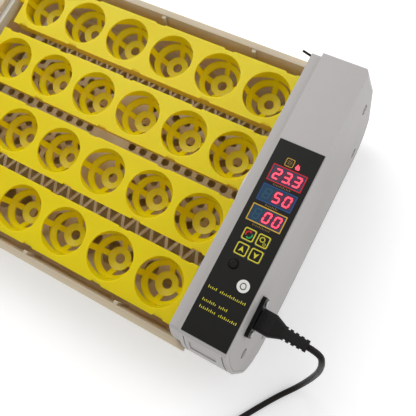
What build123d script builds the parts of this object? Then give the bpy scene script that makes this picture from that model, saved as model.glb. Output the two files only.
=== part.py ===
"""Egg incubator: tub, four tilting egg trays, control housing and mains cord.

Frame: +Z up, origin on the surface it stands on, under the middle of the body.
+X points along the body to the control housing, +Y across it. Millimetres.
"""
from build123d import *
from math import cos, radians, sin, tan
import os

os.makedirs("parts", exist_ok=True)

# ---- driving dimensions -------------------------------------------------
BODY_X0 = -197.4          # far end wall of the tub
LIP_OUT, LIP_H = 3.0, 3.2  # lip turned out round the tub's rim
COLLAR_X = 141.0          # inner wall of the control housing, where the lid ledge begins
STEP_X = 150.6            # step from the ledge up to the housing's top
FACE_X = 191.1            # end face of the housing, measured at its top edge
FACE_SLOPE = 0.075        # how far the end face leans out for each mm down
FOOT_H = 3.0
TOP_Z = 127.6             # top of the control housing
LEDGE_Z = 122.1           # top of the ledge that the lid rests on
RIM_Z = 76.4              # top of the tub's rim
TOP_HALF = 124.8          # half widths of the cross-section, from the top down
SHOULDER_HALF = 132.9
RIM_HALF = 136.8
BASE_HALF = 133.0
CORNER_R = 40.0           # large lower corners
TUB_WALL = 3.0
SHELL = 2.6               # housing wall
FAR_CORNER, NEAR_CORNER = (8.0, 4.5), (3.0, 3.0)   # upright corners' radii at the top and below
LEDGE_WIDEN = 2.6         # how much wider the ledge is than the rest of the collar

CUP_PITCH = 52.0
CUPS = 6
ROW_PITCH = 65.8
HOLE_R = 22.5
TRAY_HALF = 27.7
TRAY_LEN = CUP_PITCH * CUPS
PLATE_T = 2.0
FLANGE_D = 19.0
PIVOT_DROP = 6.0          # from the tray's top face down to its tilt axis
PIVOT_Z = 64.4
PIVOT_R = 3.0
TILT = 5.1                # tilt of the trays as they stand, in degrees
ARM_R = 22.0              # tilt axis to link pin
LINK_PIN_R = 2.0
RUN = 0.06                # radial clearance of a running shaft
ROWS = [-1.5 * ROW_PITCH, -0.5 * ROW_PITCH, 0.5 * ROW_PITCH, 1.5 * ROW_PITCH]
TRAY_X = [-27.5, -23.6, -22.9, -22.1]     # tray centres, each with its own end play
RAIL_X0, RAIL_X1 = 137.0, 141.0           # pivot rail on the housing wall
FAR_RAIL_X0, FAR_RAIL_X1 = BODY_X0 + TUB_WALL, -189.0
LINK_X0, LINK_X1 = 134.7, 136.4           # tie bar

GRILLE_Z = 23.0
GRILLE_T = 1.8
GRILLE_X0, GRILLE_X1 = -180.0, 138.0      # leaves a slot at the far end to pour water through
GRILLE_HALF = 122.0
GRILLE_POSTS = [(-176.0, -103.0), (-176.0, 103.0), (134.0, -70.0), (134.0, 0.0), (134.0, 70.0)]
HEX_PITCH, HEX_R = 13.5, 4.6
PANEL_X0, PANEL_X1 = 151.9, 189.8
PANEL_Y0, PANEL_Y1 = -122.6, 43.3
PANEL_T = 0.6
WINDOW = (27.8, 13.4)
WINDOW_X = 171.0
WINDOW_Y = [15.2, -2.3, -19.9]
KEYS = {"mode": (165.0, -37.3), "set": (176.7, -37.3), "up": (165.0, -49.6), "down": (176.7, -49.6)}
KEY_SIDE = 10.3
POWER_KEY = (164.6, -62.2)
POWER_KEY_R = 3.6
BOARD_Z = 112.0
BOARD_T = 1.6

INLET_Y, INLET_Z = -88.5, 99.6
INLET_W, INLET_H, INLET_T = 34.0, 16.0, 3.4
CORD_R = 2.6
PLUG_YAW = 2.5            # the connector sits a little askew, in degrees
COIL_C = (222.0, -240.0)
COIL_R = 29.0             # middle of the coil's turns
COIL_HALF_W, COIL_H = 7.0, 13.0

FAN_Y, FAN_Z, FAN_R = 0.0, 96.5, 21.0


def save(item, name):
    """Label a finished piece and write it as its own STEP file."""
    item.part.label = name
    export_step(item.part, f"parts/{name}.step")


def cylinder_at(origin, direction, radius, length):
    """Round bar, bored or added by the caller, from a point along a direction."""
    with BuildSketch(Plane(origin=origin, z_dir=direction)) as section:
        Circle(radius)
    return extrude(section.sketch, length, mode=Mode.PRIVATE)


def block(x0, x1, y0, y1, z0, z1):
    """Plain rectangular solid between two corners."""
    with BuildSketch(Plane.XY.offset(z0)) as section:
        with Locations(((x0 + x1) / 2, (y0 + y1) / 2)):
            Rectangle(x1 - x0, y1 - y0)
    return extrude(section.sketch, z1 - z0, mode=Mode.PRIVATE)


def body_section(x, top_half, shoulder_half, rim_half, base_half, top, base, corner):
    """Cross-section of the body: flat top, leaning sides, large lower corners."""
    with BuildSketch(Plane.YZ.offset(x)) as section:
        with BuildLine():
            mid_z = RIM_Z + (top - RIM_Z) * 0.45
            Line((-top_half, top), (top_half, top))
            ThreePointArc((top_half, top), (shoulder_half, mid_z), (rim_half, RIM_Z))
            Line((rim_half, RIM_Z), (base_half, base))
            Line((base_half, base), (-base_half, base))
            Line((-base_half, base), (-rim_half, RIM_Z))
            ThreePointArc((-rim_half, RIM_Z), (-shoulder_half, mid_z), (-top_half, top))
        make_face()
        fillet(section.vertices().group_by(Axis.Y)[0], corner)
        fillet(section.vertices().group_by(Axis.Y)[-1], 2.6)
    return section.sketch


def body_prism(x0, x1, inset=0.0, drop=0.0, widen=0.0):
    """Solid of the body's cross-section from x0 to x1, drawn in by inset all round."""
    section = body_section(
        x0, TOP_HALF - inset + widen, SHOULDER_HALF - inset + widen / 2, RIM_HALF - inset, BASE_HALF - inset,
        TOP_Z - max(inset, drop), FOOT_H + inset, max(CORNER_R - inset, 5.0),
    )
    return extrude(section, x1 - x0, mode=Mode.PRIVATE)


def lean_plane(x_top):
    """Plane parallel to the housing's leaning end face, through x_top at the top."""
    return Plane(origin=(x_top, 0, TOP_Z), x_dir=(0, 1, 0), z_dir=(1, 0, FACE_SLOPE))


def lean_x(x_top, z):
    """Where such a plane stands at height z."""
    return x_top + FACE_SLOPE * (TOP_Z - z)


def corner_cut(side, radii, inset=0.0):
    """What is cut away outside one upright corner of the housing, drawn in by inset."""
    bulge = 1.6
    levels = ((TOP_Z, TOP_HALF, radii[0]), (RIM_Z, RIM_HALF, radii[1]), (FOOT_H, BASE_HALF, radii[1]))
    with BuildPart(mode=Mode.PRIVATE) as cut:
        for upper, lower in zip(levels, levels[1:]):
            with BuildPart(mode=Mode.PRIVATE) as wedge:
                for z, half, radius in (upper, lower):
                    with BuildSketch(Plane.XY.offset(z)):
                        with Locations((lean_x(FACE_X, z) - radius, side * (half + bulge - radius))):
                            with Locations((25, side * 25)):
                                Rectangle(50, 50)
                            Circle(radius - inset, mode=Mode.SUBTRACT)
                loft()
            add(wedge.part)
    return cut.part


# ---- tub ----------------------------------------------------------------
with BuildPart() as base_tub:
    add(body_prism(BODY_X0, STEP_X))
    add(block(BODY_X0 - 1, STEP_X + 1, -150, 150, RIM_Z, TOP_Z + 1), mode=Mode.SUBTRACT)
    fillet(base_tub.faces().sort_by(Axis.X)[0].edges().filter_by(
        lambda e: e.center().Z < RIM_Z - 0.5), 6)
    with BuildSketch(Plane.XY.offset(RIM_Z - LIP_H)) as lip:
        with Locations(((BODY_X0 - LIP_OUT + STEP_X) / 2, 0)):
            Rectangle(STEP_X - BODY_X0 + LIP_OUT, 2 * (RIM_HALF + LIP_OUT))
        fillet(lip.vertices().group_by(Axis.X)[0], 6)
    extrude(amount=LIP_H)
    with BuildPart(mode=Mode.PRIVATE) as tub_hollow:
        add(body_prism(BODY_X0 + TUB_WALL, STEP_X + 1, TUB_WALL))
        fillet(tub_hollow.faces().sort_by(Axis.X)[0].edges().filter_by(
            lambda e: e.center().Z < RIM_Z - 8), 4)
    add(tub_hollow.part, mode=Mode.SUBTRACT)
    for side in (-1, 1):                       # stiffening ribs inside the long walls
        for x in (-121.5, -21.5, 78.5):
            y_out, y_in = side * (RIM_HALF - 1.5), side * (RIM_HALF - TUB_WALL - 3.2)
            add(block(x - 2, x + 2, min(y_out, y_in), max(y_out, y_in), 46, RIM_Z - 1.0))
    for x, y in GRILLE_POSTS:
        add(block(x - 3, x + 3, y - 4, y + 4, FOOT_H + TUB_WALL - 0.5, GRILLE_Z))
    for y in (-66, 66):                        # bosses that the feet screw to
        for x in (-160, 100):
            with BuildSketch(Plane.XY.offset(FOOT_H + TUB_WALL - 0.5)):
                with Locations((x, y)):
                    Circle(7)
            extrude(amount=3.1)
    for x in (-160, 100):                      # blind holes for the feet's stems
        for y in (-66, 66):
            add(cylinder_at((x, y, FOOT_H - 1), (0, 0, 1), 2.2, 4.5), mode=Mode.SUBTRACT)
save(base_tub, "base_tub")

with BuildPart() as feet:
    for x in (-160, 100):
        for y in (-66, 66):
            with BuildSketch(Plane.XY):
                with Locations((x, y)):
                    Circle(8)
            extrude(amount=FOOT_H, taper=4)
            add(cylinder_at((x, y, FOOT_H - 0.5), (0, 0, 1), 2.0, 3.5))
save(feet, "rubber_feet")

# ---- water channels and floor grille -------------------------------------
with BuildPart() as water_tray:
    add(block(-193, 126, -96, 96, 8.6, 19.6))
    for y0, y1 in ((-93.5, -49), (-46.5, -1.3), (1.3, 46.5), (49, 93.5)):
        add(block(-190.5, 123.5, y0, y1, 10.6, 20), mode=Mode.SUBTRACT)
save(water_tray, "water_tray")


def truss(y, scale):
    """Band of open triangles with slanting bars between, drawn in the current sketch."""
    period = 17.0 * scale
    for step in range(int((GRILLE_X1 - GRILLE_X0 - 26) / period)):
        for shift, tip in ((0.0, 1), (period / 2, -1)):
            with Locations((GRILLE_X0 + 14 + period * step + shift, y)):
                Polygon([(-6.75 * scale, -10 * tip * scale), (6.75 * scale, -10 * tip * scale),
                         (0, 5.9 * tip * scale)], align=None)


with BuildPart() as floor_grille:
    with BuildSketch(Plane.XY.offset(GRILLE_Z)):
        with Locations(((GRILLE_X0 + GRILLE_X1) / 2, 0)):
            Rectangle(GRILLE_X1 - GRILLE_X0, 2 * GRILLE_HALF)
    extrude(amount=GRILLE_T)
    fillet(floor_grille.edges().filter_by(Axis.Z), 10)
    with BuildSketch(Plane.XY.offset(GRILLE_Z - 1)):
        truss(-62.0, 1.0)
        truss(82.0, 0.8)
        for row in range(-4, 5):               # hexagons along the middle, with a plain patch
            for step in range(22):
                x = GRILLE_X0 + 12 + HEX_PITCH * (step + (row % 2) / 2)
                if not -47 < x < -14:
                    with Locations((x, 10 + 0.87 * HEX_PITCH * row)):
                        RegularPolygon(HEX_R, 6, rotation=30)
        for row in (-95, 107):                 # long slots under the outer trays
            for step in range(14):
                with Locations((GRILLE_X0 + 12 + 22.2 * step, row)):
                    SlotOverall(24, 13, rotation=90)
    extrude(amount=GRILLE_T + 2, mode=Mode.SUBTRACT)
save(floor_grille, "floor_grille")

# ---- control housing ------------------------------------------------------
PIN_AT, PIN_DIR = (143.45, 121.9, 119.9), (-0.98, 0.165, 0.118)   # stub that a lid hinges on
PIN_R = 0.97
SCREWS = [(-118.0, 72.0), (-96.0, 22.0), (118.0, 72.0), (96.0, 22.0)]
BOSS_X0, COVER_T = 160.0, 2.4
with BuildPart() as control_housing:
    add(body_prism(STEP_X, FACE_X + 20))
    add(body_prism(COLLAR_X, STEP_X + 1, TUB_WALL + 0.1, TOP_Z - LEDGE_Z, LEDGE_WIDEN))
    split(bisect_by=lean_plane(FACE_X), keep=Keep.BOTTOM)
    # hollow inside, open towards the end cover
    with BuildPart(mode=Mode.PRIVATE) as room:
        add(body_prism(STEP_X + 1.5, FACE_X + 20, SHELL))
        add(body_prism(COLLAR_X + SHELL, STEP_X + 3, 2 * SHELL + 1.5, TOP_Z - LEDGE_Z + SHELL, LEDGE_WIDEN))
        add(corner_cut(1, FAR_CORNER, SHELL), mode=Mode.SUBTRACT)
    add(room.part, mode=Mode.SUBTRACT)
    # grooves round the sides, and a shallow field in the near side
    with BuildPart(mode=Mode.PRIVATE) as skin:
        add(body_prism(STEP_X + 1, FACE_X + 20))
        add(body_prism(STEP_X, FACE_X + 21, 0.9), mode=Mode.SUBTRACT)
        add(block(STEP_X, FACE_X + 21, -150, 150, TOP_Z - 4.2, TOP_Z + 1), mode=Mode.SUBTRACT)
    for x0, x1 in ((154.4, 155.4), (186.4, 187.9)):
        with BuildPart(mode=Mode.PRIVATE) as groove:
            add(skin.part)
            if x0 < 170:
                add(block(x0, x1, -150, 150, 0, TOP_Z), mode=Mode.INTERSECT)
            else:
                split(bisect_by=lean_plane(x0), keep=Keep.TOP)
                split(bisect_by=lean_plane(x1), keep=Keep.BOTTOM)
        add(groove.part, mode=Mode.SUBTRACT)
    with BuildPart(mode=Mode.PRIVATE) as field:
        add(skin.part)
        add(block(159, 182, -150, 0, 97, 117), mode=Mode.INTERSECT)
    add(field.part, mode=Mode.SUBTRACT)
    # openings in the top for displays and keys
    with BuildSketch(Plane.XY.offset(TOP_Z - SHELL - 1)):
        for y in WINDOW_Y:
            with Locations((WINDOW_X, y)):
                Rectangle(WINDOW[0] - 0.6, WINDOW[1] - 0.6)
        for x, y in KEYS.values():
            with Locations((x, y)):
                Circle(3.2)
        with Locations(POWER_KEY):
            Circle(POWER_KEY_R + 0.4)
    extrude(amount=SHELL + 3, mode=Mode.SUBTRACT)
    # openings in the inner wall: fan, crank shaft, air return, sensor, probe lead
    wall_holes = [((FAN_Y, FAN_Z), FAN_R), ((0, PIVOT_Z), 3.6), ((52, 100), 4.2), ((-88, 102), 5)]
    for (y, z), r in wall_holes:
        add(cylinder_at((COLLAR_X - 1, y, z), (1, 0, 0), r, SHELL + 2), mode=Mode.SUBTRACT)
    for y in (-62, -48, -34, 34, 48, 62):
        add(block(COLLAR_X - 1, COLLAR_X + SHELL + 1, y - 3, y + 3, 28, 50), mode=Mode.SUBTRACT)
    # bore for the lid's hinge pin
    add(cylinder_at(PIN_AT, PIN_DIR, PIN_R + 0.03, 6), mode=Mode.SUBTRACT)
with BuildPart() as housing_bosses:
    for y, z in SCREWS:
        bore = cylinder_at((BOSS_X0 - 1, y, z), (1, 0, 0), 1.7, 60)
        add(cylinder_at((BOSS_X0, y, z), (1, 0, 0), 4.5, 50))
        outer = 140 if y > 0 else -140         # web out to the side wall
        add(block(BOSS_X0, BOSS_X0 + 40, min(y, outer), max(y, outer), z - 1.2, z + 1.2))
        add(bore, mode=Mode.SUBTRACT)
    split(bisect_by=lean_plane(FACE_X - COVER_T - 0.2), keep=Keep.BOTTOM)
    add(body_prism(COLLAR_X, FACE_X + 20, 0.6 * SHELL), mode=Mode.INTERSECT)
with BuildPart() as housing_all:
    add(control_housing.part)
    add(housing_bosses.part)
    split(bisect_by=lean_plane(FACE_X), keep=Keep.BOTTOM)
    add(corner_cut(1, FAR_CORNER), mode=Mode.SUBTRACT)
    add(corner_cut(-1, NEAR_CORNER), mode=Mode.SUBTRACT)
save(housing_all, "control_housing")

INLET_AXIS = (1.0, 0.0, FACE_SLOPE)
INLET_P = Plane(origin=(lean_x(FACE_X, INLET_Z), INLET_Y, INLET_Z), x_dir=(0, 1, 0), z_dir=INLET_AXIS)
with BuildPart() as end_cover:
    add(body_prism(FACE_X - 15, FACE_X + 20, SHELL + 0.3))
    split(bisect_by=lean_plane(FACE_X), keep=Keep.BOTTOM)
    split(bisect_by=lean_plane(FACE_X - COVER_T), keep=Keep.TOP)
    add(corner_cut(1, FAR_CORNER, SHELL + 0.3), mode=Mode.SUBTRACT)
    for y, z in SCREWS:
        at = (lean_x(FACE_X, z), y, z)
        with BuildSketch(Plane(origin=at, z_dir=INLET_AXIS)):
            Circle(5.0)
        extrude(amount=-1.2, mode=Mode.SUBTRACT)
        add(cylinder_at((at[0] - 5, y, z), (1, 0, 0), 1.8, 10), mode=Mode.SUBTRACT)
    with BuildSketch(INLET_P.offset(-5)):
        Rectangle(20.6, 12.6)
        with Locations((-13.2, 0), (13.2, 0)):
            Circle(1.4)
    extrude(amount=8, mode=Mode.SUBTRACT)
save(end_cover, "end_cover")

with BuildPart() as cover_screws:
    for y, z in SCREWS:
        x = lean_x(FACE_X, z) - 0.9
        with BuildSketch(Plane(origin=(x, y, z), z_dir=(1, 0, 0))):
            Circle(2.9)
        extrude(amount=1.0)
        add(cylinder_at((x + 0.01, y, z), (-1, 0, 0), 1.5, 14))
        with BuildSketch(Plane(origin=(x + 1.0, y, z), z_dir=(1, 0, 0))):
            Rectangle(3.4, 0.8)
            Rectangle(0.8, 3.4)
        extrude(amount=-0.6, mode=Mode.SUBTRACT)
save(cover_screws, "cover_screws")

with BuildPart() as lid_hinge_pin:
    add(cylinder_at(PIN_AT, PIN_DIR, PIN_R, 11.0))
    fillet(lid_hinge_pin.faces().sort_by(Axis.X)[0].edges(), 0.8)
save(lid_hinge_pin, "lid_hinge_pin")

# ---- panel, displays, keys ------------------------------------------------
with BuildPart() as control_panel:
    add(block(PANEL_X0, PANEL_X1, PANEL_Y0, PANEL_Y1, TOP_Z, TOP_Z + PANEL_T))
    with BuildSketch(Plane.XY.offset(TOP_Z - 1)):
        for y in WINDOW_Y:
            with Locations((WINDOW_X, y)):
                Rectangle(*WINDOW)
        for x, y in KEYS.values():
            with Locations((x, y)):
                RectangleRounded(KEY_SIDE + 0.6, KEY_SIDE + 0.6, 1.9)
        with Locations(POWER_KEY):
            Circle(POWER_KEY_R + 0.4)
    extrude(amount=4, mode=Mode.SUBTRACT)
save(control_panel, "control_panel")

with BuildPart() as display_lenses:
    for y in WINDOW_Y:
        add(block(WINDOW_X - WINDOW[0] / 2, WINDOW_X + WINDOW[0] / 2, y - WINDOW[1] / 2,
                  y + WINDOW[1] / 2, TOP_Z, TOP_Z + PANEL_T - 0.1))
save(display_lenses, "display_lenses")

for name, y in zip(("temperature", "humidity", "day"), WINDOW_Y):
    with BuildPart() as display:
        add(block(WINDOW_X - 13.5, WINDOW_X + 13.5, y - 6.2, y + 6.2, BOARD_Z + BOARD_T + 1.4, TOP_Z - 0.2))
        for k in range(5):
            for row in (-5, 5):
                pin = (WINDOW_X - 10.16 + 5.08 * k, y + row, BOARD_Z + BOARD_T)
                add(cylinder_at(pin, (0, 0, 1), 0.4, 1.6))
    save(display, f"{name}_display")

KEY_TRAVEL = 0.5
KEY_TOP = TOP_Z + PANEL_T + 0.6
for name, (x, y) in KEYS.items():
    with BuildPart() as key:
        with BuildSketch(Plane.XY.offset(TOP_Z + KEY_TRAVEL + 0.1)):
            with Locations((x, y)):
                RectangleRounded(KEY_SIDE, KEY_SIDE, 1.6)
        extrude(amount=KEY_TOP - TOP_Z - KEY_TRAVEL - 0.1)
        add(cylinder_at((x, y, TOP_Z + KEY_TRAVEL + 0.2), (0, 0, -1), 1.6, TOP_Z + KEY_TRAVEL + 0.2 - 118.3))
        fillet(key.faces().sort_by(Axis.Z)[-1].edges(), 0.25)
    save(key, f"{name}_button")

with BuildPart() as power_button:
    x, y = POWER_KEY
    add(cylinder_at((x, y, 122.2), (0, 0, 1), POWER_KEY_R, 7.6))
    add(cylinder_at((x, y, 122.3), (0, 0, -1), 1.6, 3.3))
    with BuildSketch(Plane.XY.offset(122.2)):
        with Locations((x, y)):
            Circle(POWER_KEY_R + 1.0)
    extrude(amount=1.2)
    fillet(power_button.faces().sort_by(Axis.Z)[-1].edges(), 1.2)
save(power_button, "power_button")

with BuildPart() as key_switches:
    for x, y in list(KEYS.values()) + [POWER_KEY]:
        add(block(x - 3, x + 3, y - 3, y + 3, BOARD_Z + BOARD_T, BOARD_Z + BOARD_T + 3.4))
        add(cylinder_at((x, y, BOARD_Z + BOARD_T + 3.3), (0, 0, 1), 1.5, 0.8))
save(key_switches, "key_switches")

BOARD_X0, BOARD_X1 = 157.0, 185.0
BOARD_HOLES = [(x, y) for x in (BOARD_X0 + 4, BOARD_X1 - 4) for y in (-106, 45)]
with BuildPart() as main_board:
    add(block(BOARD_X0, BOARD_X1, -112, 50, BOARD_Z, BOARD_Z + BOARD_T))
    with BuildSketch(Plane.XY.offset(BOARD_Z - 1)):
        with Locations(BOARD_HOLES):
            Circle(1.7)
    extrude(amount=4, mode=Mode.SUBTRACT)
    add(block(160, 170, -86, -76, BOARD_Z - 1.6, BOARD_Z))
    add(block(160, 168, 24, 36, BOARD_Z - 1.4, BOARD_Z))
save(main_board, "main_board")

with BuildPart() as board_screws:
    for x, y in BOARD_HOLES:
        add(cylinder_at((x, y, BOARD_Z - 1.6), (0, 0, 1), 3.0, 1.6))
        add(cylinder_at((x, y, BOARD_Z - 0.1), (0, 0, 1), 1.5, TOP_Z - SHELL - BOARD_Z + 0.1))
save(board_screws, "board_screws")

with BuildPart() as alarm_buzzer:
    add(cylinder_at((166, -94, BOARD_Z), (0, 0, -1), 6.0, 8.5))
    add(cylinder_at((166, -94, BOARD_Z - 7.5), (0, 0, -1), 1.0, 1.5), mode=Mode.SUBTRACT)
save(alarm_buzzer, "alarm_buzzer")

# ---- power supply inside the housing ---------------------------------------
with BuildPart() as power_board:
    add(block(158, 184, -86, -28, 12.5, 14.1))
    for x, y, w, d, h in ((171, -74, 12, 12, 12), (171, -56, 14, 14, 14), (165, -38, 8, 8, 9)):
        add(block(x - w / 2, x + w / 2, y - d / 2, y + d / 2, 14, 14 + h))
save(power_board, "power_board")

with BuildPart() as power_board_posts:
    for x in (162, 180):
        for y in (-82, -32):
            add(cylinder_at((x, y, FOOT_H + SHELL), (0, 0, 1), 3.2, 12.5 - FOOT_H - SHELL))
save(power_board_posts, "power_board_posts")

with BuildPart() as transformer:
    add(block(160, 186, 34, 70, FOOT_H + SHELL, 36))
    add(block(163, 183, 40, 64, 35, 42))
    fillet(transformer.edges().filter_by(Axis.Z), 1.5)
save(transformer, "transformer")

with BuildPart() as fuse_holder:
    add(block(160, 182, 75, 87, FOOT_H + SHELL, 14))
    add(cylinder_at((162, 81, 15.5), (1, 0, 0), 2.6, 18))
    for x in (162, 177):
        add(block(x, x + 3, 77.5, 84.5, 13, 19))
save(fuse_holder, "fuse_holder")

# ---- heater, fan and sensor --------------------------------------------------
with BuildPart() as fan_frame:
    add(block(COLLAR_X + SHELL, COLLAR_X + SHELL + 12, FAN_Y - 22.5, FAN_Y + 22.5,
              FAN_Z - 22.5, FAN_Z + 22.5))
    fillet(fan_frame.edges().filter_by(Axis.X), 3)
    add(cylinder_at((COLLAR_X, FAN_Y, FAN_Z), (1, 0, 0), FAN_R, 30), mode=Mode.SUBTRACT)
    add(cylinder_at((COLLAR_X + SHELL + 10, FAN_Y, FAN_Z), (1, 0, 0), 8, 2))
    for turn in range(3):
        with BuildSketch(Plane.YZ.offset(COLLAR_X + SHELL + 10)):
            with Locations(Location((FAN_Y, FAN_Z), 120 * turn)):
                with Locations((14.5, 0)):
                    Rectangle(14.5, 3)
        extrude(amount=2)
    add(cylinder_at((COLLAR_X + SHELL + 3, FAN_Y, FAN_Z), (1, 0, 0), 1.5, 9))
save(fan_frame, "fan_frame")

FAN_X0, FAN_X1 = COLLAR_X + SHELL + 1.0, COLLAR_X + SHELL + 9.0
with BuildPart() as fan_rotor:
    add(cylinder_at((FAN_X0, FAN_Y, FAN_Z), (1, 0, 0), 8.5, FAN_X1 - FAN_X0))
    for turn in range(7):
        hub = Plane(origin=((FAN_X0 + FAN_X1) / 2, FAN_Y, FAN_Z), x_dir=(1, 0, 0), z_dir=(0, 0, 1))
        blade_plane = Plane(hub.location * Location((0, 0, 0), (360 / 7 * turn, 0, 0)))
        with BuildSketch(blade_plane.offset(7.8)):
            Rectangle(7.4, 1.2, rotation=38)
        extrude(amount=12.0)
    add(cylinder_at((FAN_X0 + 1, FAN_Y, FAN_Z), (1, 0, 0), 1.5 + RUN, 10), mode=Mode.SUBTRACT)
save(fan_rotor, "fan_rotor")

with BuildPart() as fan_guard:
    for r in (8, 14, 20):
        with BuildSketch(Plane.YZ.offset(COLLAR_X - 1.6)):
            with Locations((FAN_Y, FAN_Z)):
                Circle(r + 0.8)
                Circle(r - 0.8, mode=Mode.SUBTRACT)
        extrude(amount=1.6)
    with BuildSketch(Plane.YZ.offset(COLLAR_X - 1.6)):
        with Locations((FAN_Y, FAN_Z)):
            Circle(24)
            Circle(21.5, mode=Mode.SUBTRACT)
            for turn in range(4):
                Rectangle(44, 1.6, rotation=45 * turn)
            Circle(8, mode=Mode.SUBTRACT)
            Circle(8.2)
            Circle(6.4, mode=Mode.SUBTRACT)
            Rectangle(14, 1.6)
            Rectangle(1.6, 14)
    extrude(amount=1.6)
save(fan_guard, "fan_guard")

with BuildPart() as heater:
    with BuildLine() as heater_path:
        FilletPolyline((152, -16, 68), (152, -16, 52), (152, 16, 52), (152, 16, 68), radius=7)
    with BuildSketch(Plane(origin=(152, -16, 68), z_dir=(0, 0, -1))):
        Circle(3.2)
    sweep(path=heater_path.line)
save(heater, "heater_element")

with BuildPart() as heater_clips:
    for y in (-16, 16):
        add(block(COLLAR_X + SHELL, 156, y - 5, y + 5, 61, 65))
        add(cylinder_at((152, y, 60), (0, 0, 1), 3.25, 6), mode=Mode.SUBTRACT)
save(heater_clips, "heater_clips")

with BuildPart() as air_sensor:
    add(cylinder_at((COLLAR_X - 1.5, 52, 100), (1, 0, 0), 6.0, 1.5))
    add(cylinder_at((COLLAR_X - 0.1, 52, 100), (1, 0, 0), 4.15, 16))
    for z in (-3, 0, 3):
        add(block(COLLAR_X - 2, COLLAR_X - 0.7, 48.5, 55.5, 99.4 + z, 100.6 + z), mode=Mode.SUBTRACT)
save(air_sensor, "air_sensor")

# ---- egg cup, the same in every tray ------------------------------------------
RING_R, RING_Z = 19.6, -14.3
BAND_R, BAND_Z = 16.2, -18.2
HUB_R, HUB_Z = 11.5, -24.3
EYE_R = 4.7
WALL = 1.5

with BuildPart() as cup:
    with BuildSketch(Plane.XZ) as cup_section:
        with BuildLine():
            Polyline(
                (HOLE_R, 0), (HOLE_R - 0.3, -2), (RING_R, RING_Z), (BAND_R, BAND_Z), (HUB_R, HUB_Z),
                (EYE_R, HUB_Z - 1.6), (EYE_R, HUB_Z - 1.6 - WALL), (HUB_R + 1.0, HUB_Z - WALL),
                (BAND_R + 1.1, BAND_Z - WALL), (RING_R + 1.3, RING_Z - 1.2), (HOLE_R + 1.6, -1.0),
                (HOLE_R + 1.6, 0), close=True,
            )
        make_face()
    revolve(axis=Axis.Z)
    # windows between rim and band, their upper edge falling towards the tray's sides
    with BuildPart(mode=Mode.PRIVATE) as windows:
        with BuildSketch(Plane.YZ.offset(-30)):
            with BuildLine():
                Polyline((-24, RING_Z + 0.4), (24, RING_Z + 0.4), (24, -12.6), (21.5, -11.6), (11, -1.9),
                         (-11, -1.9), (-21.5, -11.6), (-24, -12.6), close=True)
            make_face()
        extrude(amount=60)
        add(cylinder_at((0, 0, -20), (0, 0, 1), RING_R - 1.2, 30), mode=Mode.SUBTRACT)
        add(block(-30, 30, -2.8, 2.8, -30, 5), mode=Mode.SUBTRACT)
        add(block(-2.5, 2.5, -30, 30, -30, 5), mode=Mode.SUBTRACT)
    add(windows.part, mode=Mode.SUBTRACT)
    # slots between band and hub
    with BuildPart(mode=Mode.PRIVATE) as slots:
        with BuildSketch(Plane.XY.offset(HUB_Z - 3)):
            Circle(BAND_R + 0.2)
            Circle(HUB_R - 0.2, mode=Mode.SUBTRACT)
            Rectangle(60, 5.5, mode=Mode.SUBTRACT)
            Rectangle(5.5, 60, mode=Mode.SUBTRACT)
        extrude(amount=9)
    add(slots.part, mode=Mode.SUBTRACT)


def tray_plane(x, y):
    """Plane of a tray at its tilt axis, tilted as the trays stand."""
    return Plane(origin=(x, y, PIVOT_Z), x_dir=(1, 0, 0), z_dir=(0, -sin(radians(TILT)), cos(radians(TILT))))


def egg_tray(x, y):
    """One egg tray: plate with cups, down-turned edges, pivots, link arm and pin."""
    plane = tray_plane(x, y)
    end = TRAY_LEN / 2
    flange_y = TRAY_HALF - 1.0
    across = Plane(origin=plane.origin, x_dir=plane.y_dir, z_dir=(1, 0, 0))
    with BuildPart() as tray:
        with BuildSketch(plane.offset(PIVOT_DROP - PLATE_T)):
            Rectangle(TRAY_LEN, 2 * TRAY_HALF)
            for notch in (-143, -78, 0, 78, 143):
                for side in (-1, 1):
                    with Locations((notch, side * TRAY_HALF)):
                        Polygon([(-6.5, side), (-4, -side * 2.2), (3.5, -side * 2.2), (6.5, side)],
                                align=None, mode=Mode.SUBTRACT)
            with GridLocations(CUP_PITCH, 0, CUPS, 1):
                Circle(HOLE_R + 0.8, mode=Mode.SUBTRACT)
        extrude(amount=PLATE_T)
        with BuildSketch(plane.offset(PIVOT_DROP - FLANGE_D)):
            Rectangle(TRAY_LEN - 1, 2 * flange_y)
            Rectangle(TRAY_LEN - 4.2, 2 * flange_y - 3.2, mode=Mode.SUBTRACT)
        extrude(amount=FLANGE_D - 0.6)
        fillet(tray.edges().filter_by(lambda e: e.length > TRAY_LEN - 10).group_by(Axis.Z)[0], 0.5)
        with Locations(plane.offset(PIVOT_DROP)):
            with GridLocations(CUP_PITCH, 0, CUPS, 1):
                add(cup.part)
        # link arm at the housing end, with its pin
        with BuildSketch(across.offset(end - 2.1)):
            with BuildLine():
                Polyline((-7, 0), (7, 0), (4.5, -ARM_R), (-4.5, -ARM_R), close=True)
            make_face()
            with Locations((0, -ARM_R)):
                Circle(4.5)
        extrude(amount=2.1)
        with BuildSketch(across.offset(end - 0.2)):
            with Locations((0, -ARM_R)):
                Circle(LINK_PIN_R)
        extrude(amount=LINK_X1 + 0.3 - x - end + 0.2)
        # pivots into both rails
        with BuildSketch(across.offset(end - 1)):
            Circle(PIVOT_R)
        extrude(amount=RAIL_X1 - 0.6 - x - end + 1)
        with BuildSketch(across.offset(-end + 1)):
            Circle(PIVOT_R)
        extrude(amount=-(x - end - FAR_RAIL_X0 - 0.6) - 1)
    return tray


for index, (x, y) in enumerate(zip(TRAY_X, ROWS), start=1):
    save(egg_tray(x, y), f"egg_tray_{index}")

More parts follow.
